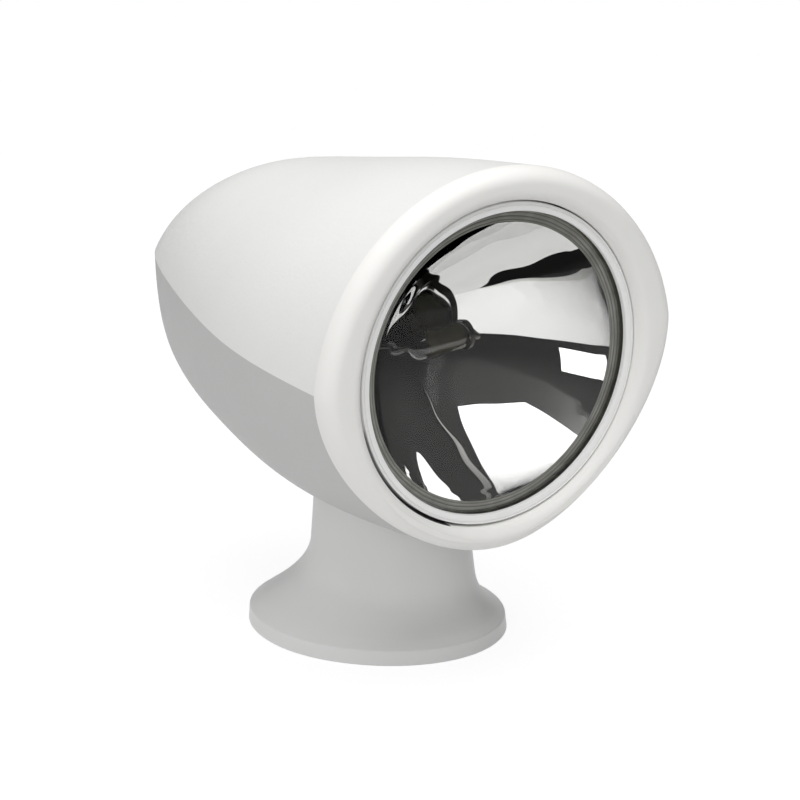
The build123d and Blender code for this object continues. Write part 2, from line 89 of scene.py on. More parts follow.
class Finish:
    """A material with its nodes, built one call at a time."""

    def __init__(self, name, **sockets):
        self.material = bpy.data.materials.new(name)
        self.material.use_nodes = True
        self.tree = self.material.node_tree
        self.tree.nodes.clear()
        self.shader = self.tree.nodes.new("ShaderNodeBsdfPrincipled")
        self.out = self.tree.nodes.new("ShaderNodeOutputMaterial")
        self.tree.links.new(self.shader.outputs[0], self.out.inputs[0])
        self.place = self.node("ShaderNodeTexCoord", {}, {}, "Object")
        self.set(**sockets)

    def node(self, kind, settings, values, output=0):
        """Add a node: its settings first, then the values or links of its inputs."""
        made = self.tree.nodes.new(kind)
        for name, value in settings.items():
            if name == "stops":
                ramp = made.color_ramp
                while len(ramp.elements) < len(value):
                    ramp.elements.new(0.5)
                for element, (place, colour) in zip(ramp.elements, value):
                    element.position = place
                    element.color = (*colour, 1)
            else:
                setattr(made, name, value)
        for name, value in values.items():
            self.feed(made.inputs[name], value)
        return Wire(self, made.outputs[output])

    def math(self, operation, *values):
        """One Math node on these wires or numbers."""
        return self.node("ShaderNodeMath", {"operation": operation}, dict(enumerate(values)))

    def feed(self, socket, value):
        """Link a wire to a socket, or set the socket to a value."""
        if isinstance(value, Wire):
            self.tree.links.new(value.socket, socket)
        elif isinstance(value, tuple) and socket.type == "RGBA":
            socket.default_value = (*value, 1)
        else:
            socket.default_value = value

    def set(self, **sockets):
        """Feed sockets of the shader, named with underscores for spaces."""
        for name, value in sockets.items():
            self.feed(self.shader.inputs[name.replace("_", " ")], value)

    def noise(self, size_mm, detail=2.0, roughness=0.5, seed=0.0):
        """Soft noise whose lumps are about this many millimetres across."""
        return self.node("ShaderNodeTexNoise", {"noise_dimensions": "4D"},
                         {"Vector": self.place, "W": seed, "Scale": 1000 / size_mm, "Detail": detail,
                          "Roughness": roughness}, 0)

    def along(self, axis):
        """The place along one axis, in metres."""
        return self.node("ShaderNodeSeparateXYZ", {}, {0: self.place}, axis)

    def step(self, value, start, end, **settings):
        """Rise from 0 to 1 as the value goes from start to end."""
        return self.node("ShaderNodeMapRange", settings, {0: value, "From Min": start, "From Max": end})

    def ramp(self, value, stops):
        """Colours for a value, from (place, colour) stops."""
        return self.node("ShaderNodeValToRGB", {"stops": stops}, {"Fac": value}, "Color")

    def mix(self, share, first, second):
        """Blend two colours."""
        return self.node("ShaderNodeMix", {"data_type": "RGBA"}, {0: share, 6: first, 7: second}, 2)

    def bump(self, *layers):
        """Stack layers of (height wire, strength, depth in millimetres)."""
        below = None
        for height, strength, depth in layers:
            values = {"Height": height, "Strength": strength, "Distance": depth / 1000}
            if below:
                values["Normal"] = below
            below = self.node("ShaderNodeBump", {}, values, "Normal")
        self.set(Normal=below)


def as_piece(name, shape):
    """Put a finished bmesh into the scene."""
    mesh = bpy.data.meshes.new(name)
    shape.to_mesh(mesh)
    shape.free()
    piece = bpy.data.objects.new(name, mesh)
    bpy.context.scene.collection.objects.link(piece)
    return piece


def lay_skin(name, rings, along=False, capped=False):
    """Join rings of points, in millimetres, into a mesh that faces outwards.

    The last ring joins the first when along is set, and both ends are filled when capped is set.
    """
    rings = np.asarray(rings, dtype=float)
    rows, count = rings.shape[:2]
    shape = bmesh.new()
    points = [[shape.verts.new(Vector(p) * 0.001) for p in ring] for ring in rings]
    for i in range(rows if along else rows - 1):
        near, far = points[i], points[(i + 1) % rows]
        for j in range(count):
            k = (j + 1) % count
            shape.faces.new((near[j], near[k], far[k], far[j]))
    if capped:
        shape.faces.new(points[0])
        shape.faces.new(points[-1])
    bmesh.ops.remove_doubles(shape, verts=shape.verts, dist=1e-6)
    bmesh.ops.dissolve_degenerate(shape, edges=shape.edges, dist=1e-7)
    bmesh.ops.recalc_face_normals(shape, faces=shape.faces)
    return as_piece(name, shape)


def smooth(piece, angle=35):
    """Shade round surfaces smooth and keep edges sharper than this angle."""
    for polygon in piece.data.polygons:
        polygon.use_smooth = True
    shape = bmesh.new()
    shape.from_mesh(piece.data)
    for edge in shape.edges:
        edge.smooth = len(edge.link_faces) == 2 and edge.calc_face_angle(0) < math.radians(angle)
    shape.to_mesh(piece.data)
    shape.free()


def turned(points):
    """Turn points about the pan axis by the pedestal's turn."""
    points = np.asarray(points, dtype=float)
    c, s = math.cos(pedestal_turn), math.sin(pedestal_turn)
    return np.stack([points[..., 0] * c - points[..., 1] * s,
                     points[..., 0] * s + points[..., 1] * c, points[..., 2]], -1)


round_angles = np.linspace(0, 2 * math.pi, 145)[:-1]


def flare_ring(height, inset=0.0, level=None, swell=0.0):
    """The oval skin at one height. The sides, the front and the rear sweep out each at their own rate."""
    rise = max(0.0, height - foot_rim_height)
    spread = neck_spread * max(0.0, neck_straight - height)
    ways = ((foot_side, neck_side, flare_side), (foot_front, neck_front, flare_front),
            (foot_rear, neck_rear, flare_rear))
    reach = []
    for foot, neck, (tall, power) in ways:
        share = max(0.0, 1 - rise / tall) ** power
        reach.append((neck + spread) * (1 - share) + foot * share - inset + swell)
    side, front, rear = reach
    tall, power = flare_side
    middle = foot_middle * max(0.0, 1 - rise / tall) ** power
    z = height if level is None else level
    ring = []
    for a in round_angles:
        half_length = rear - middle if math.sin(a) > 0 else front + middle
        ring.append((side * math.cos(a), middle + half_length * math.sin(a), z))
    return turned(ring)


def plate_ring(height):
    """The oval edge of the opening that the base plate closes."""
    side, length, back = plate_opening
    return turned([(side * math.cos(a), back + length * math.sin(a), height) for a in round_angles])


def circle_ring(radius, height):
    """A round edge about the pan axis."""
    return turned([(radius * math.cos(a), radius * math.sin(a), height) for a in round_angles])


rings = [plate_ring(0.0), flare_ring(0, swell=foot_rim_draft - 0.3)]
rings.append(flare_ring(0, level=0.3, swell=foot_rim_draft))
rings.append(flare_ring(0, level=0.6, swell=foot_rim_draft - 0.05))
for bend in np.linspace(0, rim_round_turn, 7):
    rings.append(flare_ring(0, rim_round * (1 - math.cos(bend)), rim_round_base + rim_round * math.sin(bend),
                            rim_swell))
neck_shares = np.linspace(0.012, 1, 72) ** 1.6
for height in foot_rim_height + 0.15 + (neck_straight - foot_rim_height) * neck_shares:
    fade = max(0.0, 1 - (height - foot_rim_height) / rim_crease_height)
    rings.append(flare_ring(height, rim_crease * fade))
rings += [flare_ring(neck_top - 1.0), flare_ring(neck_top - 0.4)]
rings += [flare_ring(neck_top, 0.15, neck_top - 0.1), flare_ring(neck_top, 0.45, neck_top)]
rings += [circle_ring(deck_boss, neck_top), circle_ring(spindle_hole, neck_top)]
rings += [circle_ring(spindle_hole, neck_ceiling), circle_ring(deck_boss, neck_ceiling)]
rings.append(flare_ring(neck_ceiling, pedestal_wall))
for height in np.linspace(neck_ceiling - 5.0, foot_rim_height + 2.0, 40):
    rings.append(flare_ring(height, pedestal_wall))
rings.append(plate_ring(foot_rim_height - 1.0))
pedestal_shell = lay_skin("pedestal_moulding", rings, along=True)
smooth(pedestal_shell)

satin_grey = Finish("satin_grey_plastic", Specular_IOR_Level=0.45)
cloud = satin_grey.noise(38, 3.0)
satin_grey.set(
    Base_Color=satin_grey.mix(cloud, (0.765, 0.765, 0.757), (0.790, 0.790, 0.782)),
    Roughness=0.36 + satin_grey.noise(6, 3.0) * 0.14,
)
satin_grey.bump((satin_grey.noise(0.9, 2.0), 0.05, 0.04), (satin_grey.noise(14, 2.0), 0.12, 0.12))
pedestal_shell.data.materials.append(satin_grey.material)
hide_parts("pedestal_shell")
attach(pedestal_shell, "pedestal")


# The plate that closes the foot is moulded in the same grey plastic. It
# carries the brass inserts for the deck bolts, a black sealing strip, four
# steel screws and the rubber grommet for the cable.
def dress(names, finish):
    """Give carried-over nodes their finish."""
    for name in names:
        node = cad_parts[name]
        node.data.materials.clear()
        node.data.materials.append(finish.material)


black_rubber_and_painted_shade = Finish("black_rubber_and_painted_shade")
black_rubber_and_painted_shade.set(
    Base_Color=black_rubber_and_painted_shade.mix(black_rubber_and_painted_shade.noise(5, 4.0), (0.018, 0.018, 0.019), (0.034, 0.034, 0.035)),
    Roughness=0.5 + black_rubber_and_painted_shade.noise(1.2, 2.0) * 0.25,
)
black_rubber_and_painted_shade.bump((black_rubber_and_painted_shade.noise(0.6, 3.0), 0.15, 0.05))

turned_brass = Finish("turned_brass", Metallic=1.0)
rubbed = turned_brass.noise(2.5, 4.0)
turned_brass.set(
    Base_Color=turned_brass.mix(rubbed, (0.60, 0.43, 0.19), (0.76, 0.59, 0.31)),
    Roughness=0.24 + rubbed * 0.2,
)

stainless = Finish("stainless_steel", Metallic=1.0)
streak = stainless.noise(1.4, 4.0)
stainless.set(
    Base_Color=stainless.mix(streak, (0.52, 0.52, 0.52), (0.68, 0.68, 0.69)),
    Roughness=0.2 + streak * 0.22,
)
dress(["base_plate"], satin_grey)
dress(["base_gasket", "cable_grommet"], black_rubber_and_painted_shade)
dress(["deck_inserts"], turned_brass)


def socket_screw(length):
    """One screw, head up on the ground plane: a domed head with a six-sided socket, and a plain shank."""
    shank, head, dome, socket, socket_floor = 1.2, 2.2, 0.75, 0.95, 0.55
    profile = [(0.001, -length), (shank - 0.3, -length), (shank, 0.4 - length), (shank, 0.0)]
    profile += [(head - 0.1, 0.0), (head, 0.12)]
    profile += [(head - dome * (1 - math.cos(t)), dome + dome * math.sin(t))
                for t in np.linspace(0, math.pi / 2, 5)]
    turn = np.linspace(0, 2 * math.pi, 25)[:-1]
    rings = [[(r * math.cos(a), r * math.sin(a), z) for a in turn] for r, z in profile]
    flat = socket / np.cos((turn % (math.pi / 3)) - math.pi / 6)
    for z in (2 * dome, socket_floor):
        rings.append([(r * math.cos(a), r * math.sin(a), z) for r, a in zip(flat, turn)])
    rings.append([(0.001 * math.cos(a), 0.001 * math.sin(a), socket_floor - 0.1) for a in turn])
    screw = lay_skin("socket_screw", rings, capped=True)
    smooth(screw, 30)
    return screw


def screw_tree():
    """Set one screw on each point, leaned as the point says."""
    tree = bpy.data.node_groups.new("screw_pattern", "GeometryNodeTree")
    tree.interface.new_socket("Seats", in_out="INPUT", socket_type="NodeSocketGeometry")
    tree.interface.new_socket("Screw", in_out="INPUT", socket_type="NodeSocketObject")
    tree.interface.new_socket("Size", in_out="INPUT", socket_type="NodeSocketFloat")
    tree.interface.new_socket("Finish", in_out="INPUT", socket_type="NodeSocketMaterial")
    tree.interface.new_socket("Screws", in_out="OUTPUT", socket_type="NodeSocketGeometry")
    given, made = tree.nodes.new("NodeGroupInput"), tree.nodes.new("NodeGroupOutput")
    pick = tree.nodes.new("GeometryNodeObjectInfo")
    lean = tree.nodes.new("GeometryNodeInputNamedAttribute")
    lean.data_type = "FLOAT_VECTOR"
    lean.inputs["Name"].default_value = "lean"
    points = tree.nodes.new("GeometryNodeMeshToPoints")
    place = tree.nodes.new("GeometryNodeInstanceOnPoints")
    real = tree.nodes.new("GeometryNodeRealizeInstances")
    paint = tree.nodes.new("GeometryNodeSetMaterial")
    tree.links.new(given.outputs["Seats"], points.inputs["Mesh"])
    tree.links.new(given.outputs["Screw"], pick.inputs["Object"])
    tree.links.new(points.outputs["Points"], place.inputs["Points"])
    tree.links.new(pick.outputs["Geometry"], place.inputs["Instance"])
    tree.links.new(lean.outputs["Attribute"], place.inputs["Rotation"])
    tree.links.new(given.outputs["Size"], place.inputs["Scale"])
    tree.links.new(place.outputs["Instances"], real.inputs["Geometry"])
    tree.links.new(real.outputs["Geometry"], paint.inputs["Geometry"])
    tree.links.new(given.outputs["Finish"], paint.inputs["Material"])
    tree.links.new(paint.outputs["Geometry"], made.inputs["Screws"])
    return tree


screw_pattern = screw_tree()
facing = {"up": (0, 0, 0), "down": (math.pi, 0, 0), "back": (-math.pi / 2, 0, 0),
          "right": (0, math.pi / 2, 0), "left": (0, -math.pi / 2, 0)}


def settled(piece):
    """The mesh of a piece with its modifiers or its curve worked out."""
    graph = bpy.context.evaluated_depsgraph_get()
    return bpy.data.meshes.new_from_object(piece.evaluated_get(graph))


def drive_screws(node, body, length, seats):
    """Replace a node of plain screws with socket screws on (x, y, z, facing) seats."""
    screw = socket_screw(length)
    mesh = bpy.data.meshes.new("seats")
    mesh.from_pydata([Vector(seat[:3]) * 0.001 for seat in seats], [], [])
    leans = mesh.attributes.new("lean", "FLOAT_VECTOR", "POINT")
    for row, seat in zip(leans.data, seats):
        row.vector = facing[seat[3]]
    holder = bpy.data.objects.new(node + "_detailed", mesh)
    bpy.context.scene.collection.objects.link(holder)
    step = holder.modifiers.new("pattern", "NODES")
    step.node_group = screw_pattern
    given = {item.name: item.identifier for item in screw_pattern.interface.items_tree
             if item.in_out == "INPUT"}
    step[given["Screw"]] = screw
    step[given["Size"]] = 1.0
    step[given["Finish"]] = stainless.material
    made = settled(holder)
    holder.modifiers.clear()
    holder.data = made
    bpy.data.objects.remove(screw)
    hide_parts(node)
    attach(holder, body)


def screw_circle(radius, turn, count, height, way):
    """Seats on a circle round the pan axis, from this turn on."""
    angles = [turn + 2 * math.pi / count * i for i in range(count)]
    return [(-radius * math.sin(a), radius * math.cos(a), height, way) for a in angles]


drive_screws("plate_screws", "pedestal", 8.0,
             screw_circle(radius=30.0, turn=pedestal_turn, count=4, height=1.5, way="down"))

# The pan spindle is a hollow steel turning with a flange under the deck of
# the neck. A plastic thrust washer, a steel keeper washer and a thin nut are
# stacked on it, and the white acetal ring gear is screwed round it.
acetal = Finish("white_acetal")
acetal.set(
    Base_Color=acetal.mix(acetal.noise(9, 3.0), (0.72, 0.70, 0.63), (0.80, 0.79, 0.73)),
    Roughness=0.3 + acetal.noise(2, 2.0) * 0.15,
)
dark_plastic = Finish("dark_bearing_plastic")
dark_plastic.set(
    Base_Color=dark_plastic.mix(dark_plastic.noise(3, 4.0), (0.028, 0.028, 0.030), (0.050, 0.050, 0.052)),
    Roughness=0.38 + dark_plastic.noise(1.5, 2.0) * 0.2,
)
drive_screws("gear_screws", "pedestal", 7.0,
             screw_circle(radius=18.5, turn=0.0, count=3, height=69.5, way="up"))
dress(["pan_spindle", "keeper_washer", "spindle_nut"], stainless)
dress(["thrust_washer", "pan_bush"], dark_plastic)
dress(["pan_gear"], acetal)

# The turret is one aluminium casting with a hub, a deck and two arms. Two
# small can motors on black gearboxes are screwed to it, and steel pins in
# the arms carry the head.
cast_alloy = Finish("cast_aluminium", Metallic=1.0)
sand = cast_alloy.noise(1.1, 4.0)
cast_alloy.set(
    Base_Color=cast_alloy.mix(sand, (0.50, 0.51, 0.52), (0.62, 0.63, 0.64)),
    Roughness=0.42 + sand * 0.2,
)
cast_alloy.bump((sand, 0.25, 0.08))
motor_can = Finish("drawn_motor_can", Metallic=1.0)
drawn = motor_can.noise(0.8, 3.0)
motor_can.set(
    Base_Color=motor_can.mix(drawn, (0.40, 0.40, 0.41), (0.52, 0.52, 0.53)),
    Roughness=0.26 + drawn * 0.16,
)
dress(["turret_chassis"], cast_alloy)
dress(["pan_motor", "tilt_motor"], motor_can)
dress(["pan_gearbox", "tilt_gearbox"], dark_plastic)
pan_motor_seats = [(across, 27.2, 72.0, "down") for across in (-5.8, 5.8)]
tilt_motor_seats = [(29.5, back, 88.2, "right") for back in (-5.3, 5.3)]
drive_screws("motor_screws", "turret", 7.0, pan_motor_seats + tilt_motor_seats)
dress(["pivot_pins", "pan_pinion", "tilt_pinion"], stainless)

# The head is an egg in two moulded halves of off-white plastic. The upper
# one is a plain arched shell. Both have a fine orange-peel grain that gets
# coarser towards the tail.
joint_y = -68.8
crease_height = 126.9
tail_length = 194.0
optical_height = 122.65
shell_wall = 2.8
wall_fade = 12.0
keel_roundness_front, keel_roundness_gain = 1.76, 1.44
front_wall_thickness = 3.0
front_wall_opening = 60.0
seam = 0.02
egg_steps_drawn = 121
section_points = 97

# Each station: how far behind the joint, half width, crown and keel.
stations = np.array([
    (0.0, 75.0, 66.5, 73.1), (24.0, 74.6, 62.5, 73.7), (49.0, 72.8, 57.9, 73.0), (74.0, 68.6, 52.4, 70.0),
    (99.0, 62.2, 46.8, 66.0), (124.0, 54.6, 41.2, 62.4), (144.0, 47.7, 35.2, 59.0), (164.0, 39.6, 26.0, 53.0),
    (176.0, 32.4, 18.6, 45.6), (185.0, 23.9, 11.6, 34.6), (190.5, 15.2, 6.6, 22.6), (194.0, 0.0, 0.0, 0.0)])
beyond_tail = (2 * tail_length, 0, 0, 0) - stations[-2:-6:-1]
egg_rows = np.vstack([stations, beyond_tail])
row_gaps = np.hypot(np.diff(egg_rows[:, 0]), np.diff(egg_rows[:, 1]))
egg_steps = np.concatenate([[0], np.cumsum(row_gaps ** 0.75)])


def flow(steps, rows, at):
    """A natural cubic curve through the rows, read at these steps."""
    gap = np.diff(steps)
    size = len(steps)
    lines = np.eye(size)
    right = np.zeros_like(rows)
    for i in range(1, size - 1):
        lines[i, i - 1:i + 2] = gap[i - 1], 2 * (gap[i - 1] + gap[i]), gap[i]
        right[i] = 6 * ((rows[i + 1] - rows[i]) / gap[i] - (rows[i] - rows[i - 1]) / gap[i - 1])
    bend = np.linalg.solve(lines, right)
    i = np.clip(np.searchsorted(steps, at, side="right") - 1, 0, size - 2)
    a, b, h = at - steps[i], steps[i + 1] - at, gap[i]
    a, b, h = a[:, None], b[:, None], h[:, None]
    return (bend[i] * b ** 3 + bend[i + 1] * a ** 3) / (6 * h) + (rows[i] / h - bend[i] * h / 6) * b \
        + (rows[i + 1] / h - bend[i + 1] * h / 6) * a


egg_end = egg_steps[len(stations) - 1]
egg_lines = flow(egg_steps, egg_rows, np.linspace(0, egg_end, egg_steps_drawn))
egg_lines[-1] = stations[-1]


def crown_arc(half_width, crown, count):
    """Points over the top from +X to -X, on one arc."""
    if crown < 1e-6:
        return np.zeros((count, 2))
    radius = (half_width ** 2 + crown ** 2) / (2 * crown)
    reach = math.atan2(half_width, radius - crown) if radius > crown else math.pi / 2
    angles = np.linspace(reach, -reach, count)
    return np.stack([radius * np.sin(angles), radius * np.cos(angles) - (radius - crown)], -1)


def keel_curve(half_width, keel, behind, count):
    """Points under the belly from +X to -X, on a superellipse drawn as two curves."""
    roundness = keel_roundness_front + keel_roundness_gain * behind / tail_length
    pull = (8 * 0.5 ** (1 / roundness) - 4) / 3
    t = np.linspace(0, 1, (count + 1) // 2)[:, None]
    corner = np.array([(half_width, 0), (half_width, -pull * keel), (pull * half_width, -keel), (0, -keel)])
    side = (1 - t) ** 3 * corner[0] + 3 * t * (1 - t) ** 2 * corner[1] + 3 * t ** 2 * (1 - t) * corner[2] \
        + t ** 3 * corner[3]
    return np.vstack([side, side[-2::-1] * (-1, 1)])


def half_egg(half_section):
    """Rings that run out along the skin and back along the inside, front to tail."""
    made = []
    for behind, half_width, crown, keel in egg_lines:
        outer = half_section(half_width, crown, keel, behind)
        back = behind * (tail_length - shell_wall) / tail_length
        sizes = (half_width, crown, keel)
        thin = [max(0.0, value - shell_wall * min(1, value / wall_fade)) for value in sizes]
        inner = half_section(*thin, behind)
        ring = [(x, joint_y + behind, crease_height + z) for x, z in outer]
        ring += [(x, joint_y + back, crease_height + z) for x, z in inner[::-1]]
        made.append(ring)
    return made


def front_wall(name, half_section):
    """The flat wall inside the front of a half, with the lamp's opening in it."""
    skin = half_section(*(stations[0][1:] - shell_wall * 0.5), 0.0)
    angles = np.arctan2(skin[:, 1], skin[:, 0])
    drop = optical_height - crease_height
    reach = np.array([math.sqrt(front_wall_opening ** 2 - (drop * math.cos(a)) ** 2) + drop * math.sin(a)
                      for a in angles])
    hole = np.stack([reach * np.cos(angles), reach * np.sin(angles)], -1)
    start = joint_y + seam
    end = start + front_wall_thickness
    loops = []
    for loop, y in ((skin, start), (hole, start), (hole, end), (skin, end)):
        loops.append([(x, y, crease_height + z) for x, z in loop])
    return lay_skin(name, np.transpose(np.asarray(loops), (1, 0, 2)), capped=True)


def front_strip(piece, rings):
    """Close the front edge of a half between its skin and its inside."""
    ring = np.asarray(rings[0])
    half = len(ring) // 2
    outer, inner = ring[:half], ring[half:][::-1]
    shape = bmesh.new()
    shape.from_mesh(piece.data)
    a = [shape.verts.new(Vector(p) * 0.001) for p in outer]
    b = [shape.verts.new(Vector(p) * 0.001) for p in inner]
    for i in range(half - 1):
        shape.faces.new((a[i], a[i + 1], b[i + 1], b[i]))
    bmesh.ops.remove_doubles(shape, verts=shape.verts, dist=1e-6)
    bmesh.ops.recalc_face_normals(shape, faces=shape.faces)
    shape.to_mesh(piece.data)
    shape.free()


def half_skin(name, half_section):
    """One half of the egg, outside and inside, closed along its front edge."""
    rings = half_egg(half_section)
    skin = lay_skin(name, rings)
    front_strip(skin, rings)
    return skin


def crown_section(half_width, crown, keel, behind):
    """The upper half of a station; its keel and place aren't needed."""
    return crown_arc(half_width, crown, section_points)


def joined(name, *pieces):
    """Put several meshes into one."""
    shape = bmesh.new()
    for piece in pieces:
        shape.from_mesh(piece.data)
        bpy.data.objects.remove(piece)
    return as_piece(name, shape)


def grained_shell(name, pale, dark, coarse):
    """Off-white plastic with an orange-peel grain; coarse makes the tail rougher."""
    made = Finish(name, Specular_IOR_Level=0.35)
    tail = made.node("ShaderNodeMapRange", {"interpolation_type": "SMOOTHSTEP"},
                     {0: made.along("Y"), "From Min": 0.03, "From Max": 0.115, "To Min": 0.15, "To Max": 1.0})
    fine = made.noise(1.3, 1.5)
    wide = made.noise(2.8, 2.5, 0.5, 3.0)
    cloud = made.noise(30, 3.0, 0.5, 7.0)
    speck = made.noise(0.7, 1.0, 0.5, 11.0)
    made.set(
        Base_Color=made.mix(speck * 0.35, made.mix(cloud, pale, dark), tuple(0.9 * value for value in pale)),
        Roughness=0.44 + fine * 0.16,
    )
    made.bump((fine, 0.55, 0.16), (wide * tail, coarse, 0.6))
    return made


def skin_height(across, back, half_section):
    """How high the outer skin is at a place across and along the head."""
    row = [np.interp(back - joint_y, egg_lines[:, 0], egg_lines[:, i]) for i in (1, 2, 3)]
    curve = half_section(*row, back - joint_y)
    side = curve[:len(curve) // 2 + 1][::-1]
    return crease_height + np.interp(abs(across), side[:, 0], side[:, 1])


tower_places = ((66.0, -38.0), (-66.0, -38.0), (44.5, 60.0), (-44.5, 60.0))
tower_radius = 4.2
tower_root = 1.2


def screw_towers(name, half_section, side):
    """Towers for the shell screws, from the skin to the crease. The side is 1 above it and -1 below."""
    turn = np.linspace(0, 2 * math.pi, 33)[:-1]
    towers = []
    for across, back in tower_places:
        ring = [(across + tower_radius * math.cos(a), back + tower_radius * math.sin(a)) for a in turn]
        foot = [(x, y, skin_height(x, y, half_section) - side * tower_root) for x, y in ring]
        end = [(x, y, crease_height + side * seam) for x, y in ring]
        towers.append(lay_skin(name, [foot, end], capped=True))
    return towers


upper_finish = grained_shell("off_white_grained_plastic", (0.80, 0.80, 0.79), (0.84, 0.84, 0.83), 0.8)
upper_skin = half_skin("upper_skin", crown_section)
upper_wall = front_wall("upper_wall", crown_section)
upper_towers = screw_towers("upper_tower", crown_section, 1)
upper_shell = joined("upper_shell_moulding", upper_skin, upper_wall, *upper_towers)
smooth(upper_shell, 40)
upper_shell.data.materials.append(upper_finish.material)
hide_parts("upper_head_shell")
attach(upper_shell, "head")

# The lower half is the same moulding turned into a keel, with a long slot
# through the belly for the neck, two brackets for the pivots, and towers
# for the four screws that hold the halves together.
slot_half_width = 31.5
slot_front = -58.5
slot_back = 68.0
slot_corner = 9.0
pivot_height = 117.0
bush_hole = 5.0
eye_radius = 9.0
bracket_half_width = 12.0
bracket_drop = 52.5
bracket_taper = math.radians(6.7)
bracket_inner, bracket_outer = 34.0, 38.0
shell_screw_seat = 116.9
sector_screw_across, sector_screw_height = 31.9, 102.0


def keel_section(half_width, crown, keel, behind):
    """The lower half of a station; its crown isn't needed."""
    return keel_curve(half_width, keel, behind, section_points)


def cut(piece, tool):
    """Cut one closed mesh out of another and keep the result as a plain mesh."""
    step = piece.modifiers.new("cut", "BOOLEAN")
    step.operation = "DIFFERENCE"
    step.solver = "EXACT"
    step.object = tool
    made = settled(piece)
    piece.modifiers.clear()
    piece.data = made
    bpy.data.objects.remove(tool)


def slot_rings(bottom, top):
    """The belly slot's outline with its round corners, at two heights."""
    middle = (slot_front + slot_back) / 2
    corners = []
    for x, y, start in ((slot_half_width, slot_back, 0), (-slot_half_width, slot_back, 90),
                        (-slot_half_width, slot_front, 180), (slot_half_width, slot_front, 270)):
        for angle in np.radians(np.linspace(start, start + 90, 9)):
            corners.append((x - math.copysign(slot_corner, x) + slot_corner * math.cos(angle),
                            y - math.copysign(slot_corner, y - middle) + slot_corner * math.sin(angle)))
    return [[(x, y, z) for x, y in corners] for z in (bottom, top)]


def bracket(name, inner, outer):
    """A pivot bracket: a foot on the keel, tapering up to a round eye with a hole for the bush."""
    sides = ((0.0, bracket_half_width), (math.pi, bracket_half_width), (-math.pi / 2, bracket_drop),
             (bracket_taper, eye_radius), (math.pi - bracket_taper, eye_radius))
    outside = []
    hole = []
    for a in np.linspace(-math.pi, math.pi, 97)[:-1]:
        reach = eye_radius
        if math.sin(a) <= 0:
            leans = [(offset, math.cos(a - normal)) for normal, offset in sides]
            reach = min(offset / lean for offset, lean in leans if lean > 1e-3)
        outside.append((reach * math.cos(a), pivot_height + reach * math.sin(a)))
        hole.append((bush_hole * math.cos(a), pivot_height + bush_hole * math.sin(a)))
    loops = ((outside, inner), (outside, outer), (hole, outer), (hole, inner))
    return lay_skin(name, [[(x, y, z) for y, z in loop] for loop, x in loops], along=True)


lower_skin = half_skin("lower_skin", keel_section)
lower_wall = front_wall("lower_wall", keel_section)
cut(lower_skin, lay_skin("slot_tool", slot_rings(30.0, 126.0), capped=True))
lower_towers = screw_towers("lower_tower", keel_section, -1)
brackets = [bracket("right_bracket", bracket_inner, bracket_outer),
            bracket("left_bracket", -bracket_outer, -bracket_inner)]
lower_shell = joined("lower_shell_moulding", lower_skin, lower_wall, *lower_towers, *brackets)
smooth(lower_shell, 40)
# The lower half is coloured darker than the upper one as painted shade: it is the same off-white plastic,
# facing down and away from the light.
shaded_lower_finish = grained_shell("off_white_grained_plastic_lower_painted_shade", (0.54, 0.54, 0.535), (0.58, 0.58, 0.575), 0.8)
lower_shell.data.materials.append(shaded_lower_finish.material)
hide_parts("lower_head_shell")
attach(lower_shell, "head")
drive_screws("shell_screws", "head", 20.0, [(x, y, shell_screw_seat, "down") for x, y in tower_places])
drive_screws("sector_screws", "head", 4.5,
             [(sector_screw_across, back, sector_screw_height, "left") for back in (-6.0, 6.0)])
dress(["pivot_bushes", "lamp_carrier"], dark_plastic)
dress(["tilt_sector"], acetal)
dress(["bezel_gasket", "lamp_gasket"], black_rubber_and_painted_shade)

# The bezel is a fat rolled ring, moulded in a slightly warmer white. Its
# outside follows the egg, and its inside rolls down to a round mouth, whose
# wall is painted black at the lower left as painted shade of the deep groove.
# Four screws from behind hold it.
bezel_opening = 59.1
bezel_roll = 4.6
bezel_height = 7.3
bezel_shoulder = 5.6
bezel_screw_radius = 64.6
bezel_screw_turns = (38, 142, 205, 335)
painted_shade_from, painted_shade_to = 192, 248
painted_shade_depth = 0.3
front_half, front_crown, front_keel = stations[0][1:]
outline = np.vstack([crown_arc(front_half, front_crown, 400)[:-1],
                     keel_curve(front_half, front_keel, 0.0, 401)[::-1][:-1]])
outline_angles = np.arctan2(outline[:, 1] + crease_height - optical_height, outline[:, 0])
outline_reach = np.hypot(outline[:, 0], outline[:, 1] + crease_height - optical_height)
order = np.argsort(outline_angles)
rim_angles = np.linspace(-math.pi, math.pi, 241)[:-1]
rim_reach = np.interp(rim_angles, outline_angles[order], outline_reach[order], period=2 * math.pi)


def lamp_ring(reach, ahead):
    """A ring about the optical axis, this far ahead of the joint."""
    return np.stack([reach * np.cos(rim_angles), np.full_like(rim_angles, joint_y - ahead),
                     optical_height + reach * np.sin(rim_angles)], -1)


bezel_rings = []
for turn in np.linspace(0, math.pi / 2, 15):
    reach = rim_reach - bezel_shoulder * (1 - math.cos(turn))
    bezel_rings.append(lamp_ring(reach, bezel_height * math.sin(turn)))
for turn in np.linspace(math.pi / 2, 0, 15):
    reach = bezel_opening + bezel_roll * (1 - math.cos(turn))
    bezel_rings.append(lamp_ring(reach, bezel_height - bezel_roll * (1 - math.sin(turn))))
bezel_rings.append(lamp_ring(bezel_opening, 0.0))
bezel = lay_skin("bezel_moulding", bezel_rings, along=True)
smooth(bezel, 50)
warm_white = Finish("warm_white_plastic", Specular_IOR_Level=0.45)
peel = warm_white.noise(1.0, 1.5, 0.45)
warm_white.set(
    Base_Color=warm_white.mix(warm_white.noise(25, 3.0), (0.83, 0.82, 0.80), (0.87, 0.865, 0.845)),
    Roughness=0.4 + peel * 0.15,
)
warm_white.bump((peel, 0.25, 0.06))
bezel.data.materials.append(warm_white.material)
